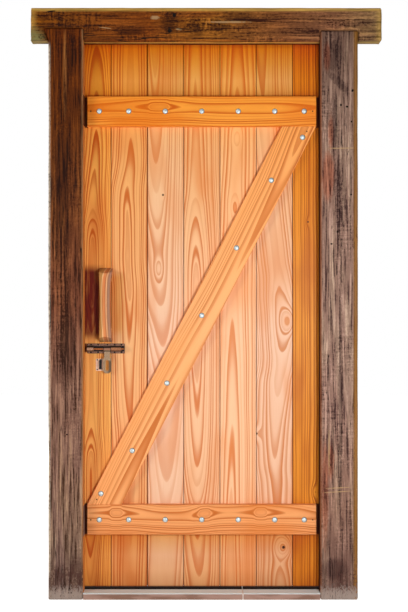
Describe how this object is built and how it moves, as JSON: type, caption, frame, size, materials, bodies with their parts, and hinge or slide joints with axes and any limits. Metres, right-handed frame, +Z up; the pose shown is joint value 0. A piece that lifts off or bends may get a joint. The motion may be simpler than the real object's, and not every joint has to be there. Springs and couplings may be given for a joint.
{
  "type": "ledged and braced door set",
  "caption": "Rustic ledged and braced plank door hung in a heavy rebated timber frame, with a wooden pull, a sliding hasp bolt with staple and strap hinges behind.",
  "frame": {"origin": "on the floor, in the middle of the doorway's width and of the frame's depth", "axes": "+Z up, -Y out of the face that carries the ledges and the bolt, +X towards the hinged side"},
  "size_m": [1.314, 0.1175, 2.22],
  "materials": {
    "old_timber": "weathered reclaimed timber, brown to grey, worn edges",
    "board_pine": "oiled pine boards with strong grain",
    "ledge_pine": "oiled pine, deeper orange, wavy grain",
    "handle_pine": "planed softwood with worn bevels",
    "threshold_stone": "pinkish brown stone, worn front edge",
    "mortar": "pale pointed joint",
    "bolt_steel": "zinc-plated, dull silver",
    "nail_iron": "dark iron",
    "hinge_iron": "black forged iron",
    "latch_bronze": "antique bronze, rubbed bright on its edges"
  },
  "bodies": {
    "frame": {"left_post": "old_timber", "right_post": "old_timber", "lintel": "old_timber", "left_lap_screws": "nail_iron", "right_lap_screws": "nail_iron", "threshold_slab_left": "threshold_stone", "threshold_slab_right": "threshold_stone", "threshold_joint": "mortar", "upper_hinge_plate": "hinge_iron", "lower_hinge_plate": "hinge_iron", "upper_hinge_screws": "hinge_iron", "lower_hinge_screws": "hinge_iron", "upper_hinge_pin": "hinge_iron", "lower_hinge_pin": "hinge_iron"},
    "leaf": {"plank_1": "board_pine", "plank_2": "board_pine", "plank_3": "board_pine", "plank_4": "board_pine", "plank_5": "board_pine", "plank_6": "board_pine", "plank_7": "board_pine", "top_ledge": "ledge_pine", "bottom_ledge": "ledge_pine", "brace": "ledge_pine", "pull_handle": "handle_pine", "top_ledge_bolts": "bolt_steel", "bottom_ledge_bolts": "bolt_steel", "brace_bolts": "bolt_steel", "top_ledge_washers": "bolt_steel", "bottom_ledge_washers": "bolt_steel", "brace_washers": "bolt_steel", "top_ledge_nuts": "bolt_steel", "bottom_ledge_nuts": "bolt_steel", "brace_nuts": "bolt_steel", "ledge_nails": "nail_iron", "handle_screws": "nail_iron", "upper_hinge_strap": "hinge_iron", "lower_hinge_strap": "hinge_iron", "bolt_backplate": "latch_bronze", "bolt_left_cuff": "latch_bronze", "bolt_right_cuff": "latch_bronze", "bolt_plate_screws": "latch_bronze", "staple_plate": "latch_bronze", "staple": "latch_bronze", "staple_screws": "latch_bronze"},
    "sliding_bolt": {"bolt_rod": "latch_bronze", "rod_collars": "latch_bronze"},
    "hasp": {"hasp_flap": "latch_bronze"}
  },
  "joints": [
    {"name": "leaf_hinge", "type": "hinge", "parent": "frame", "child": "leaf", "pos_m": [0.4615, 0.059, 1], "axis": [0, 0, -1], "range_deg": [0, 110]},
    {"name": "bolt_slide", "type": "slide", "parent": "leaf", "child": "sliding_bolt", "axis": [-1, 0, 0], "range_m": [0, 0.029]},
    {"name": "hasp_swing", "type": "hinge", "parent": "sliding_bolt", "child": "hasp", "pos_m": [-0.359, -0.001, 0.94], "axis": [-1, 0, 0], "range_deg": [-11, 100]}
  ]
}
